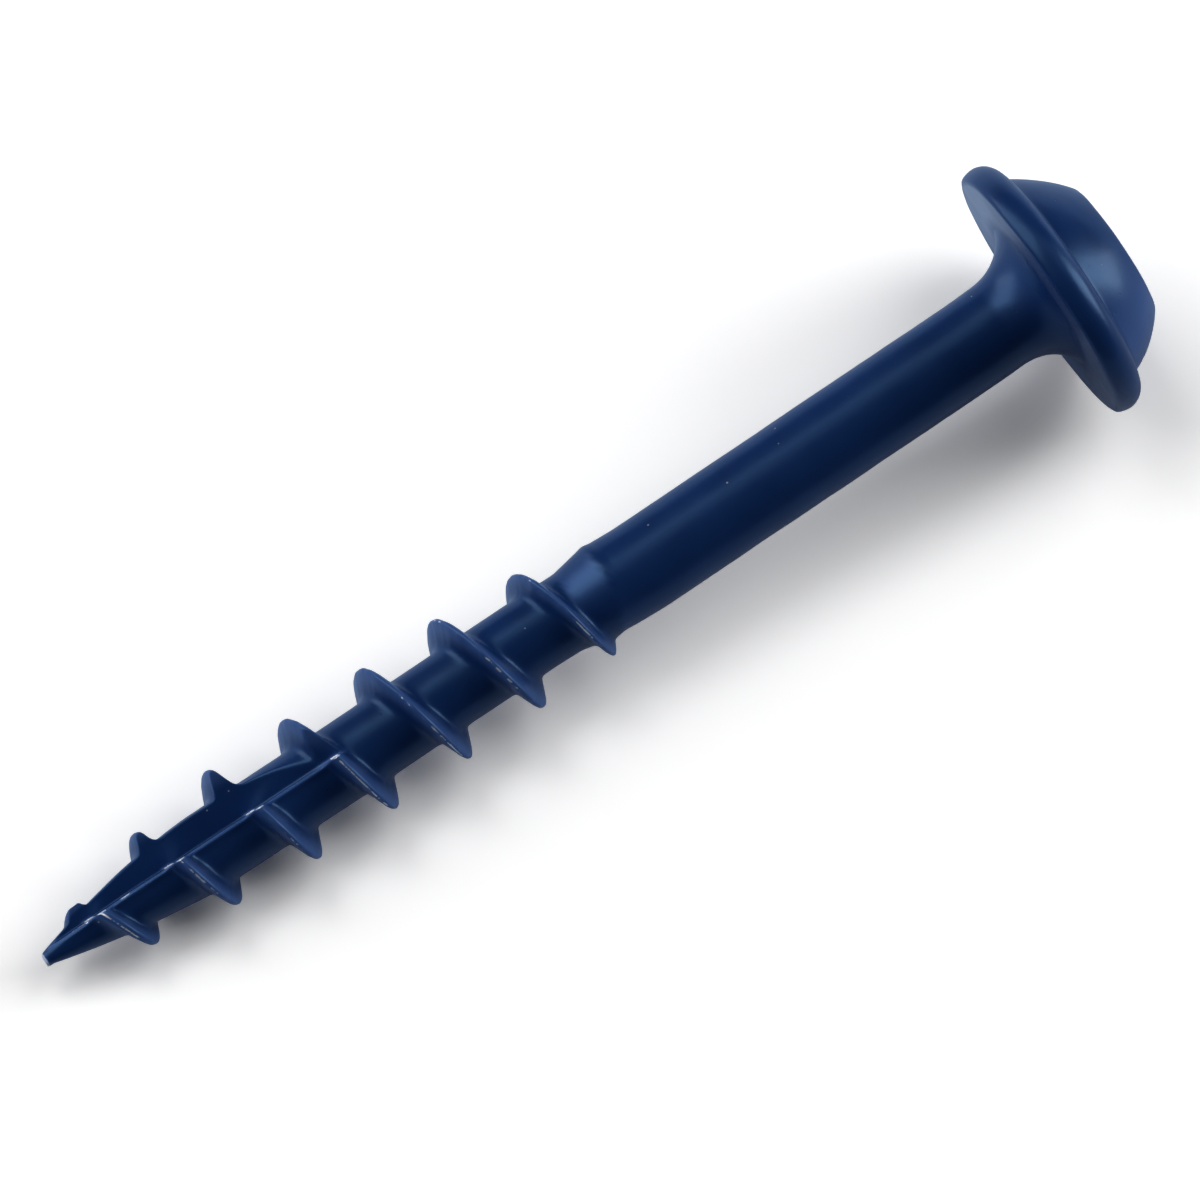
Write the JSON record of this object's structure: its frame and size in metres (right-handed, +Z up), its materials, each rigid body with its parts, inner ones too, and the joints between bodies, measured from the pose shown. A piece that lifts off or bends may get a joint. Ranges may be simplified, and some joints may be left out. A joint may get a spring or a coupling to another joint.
{
  "type": "pocket hole screw",
  "caption": "Pocket hole screw lying at rest: washer head with flat seat and square drive, plain shank, coarse thread, auger point, dark blue coating.",
  "frame": {"origin": "on the table the screw lies on, under the middle of its length", "axes": "+X from the point toward the head along the table, +Z up; the screw's own axis climbs 4.4 degrees toward +X, because it rests on its rim and one crest of the thread"},
  "size_m": [0.041, 0.0092, 0.0091],
  "materials": {
    "coated_steel": "satin dark blue polymer coating on steel, worn bright on the crest's edges and the tip"
  },
  "bodies": {
    "root": {"screw": "coated_steel"}
  },
  "joints": []
}
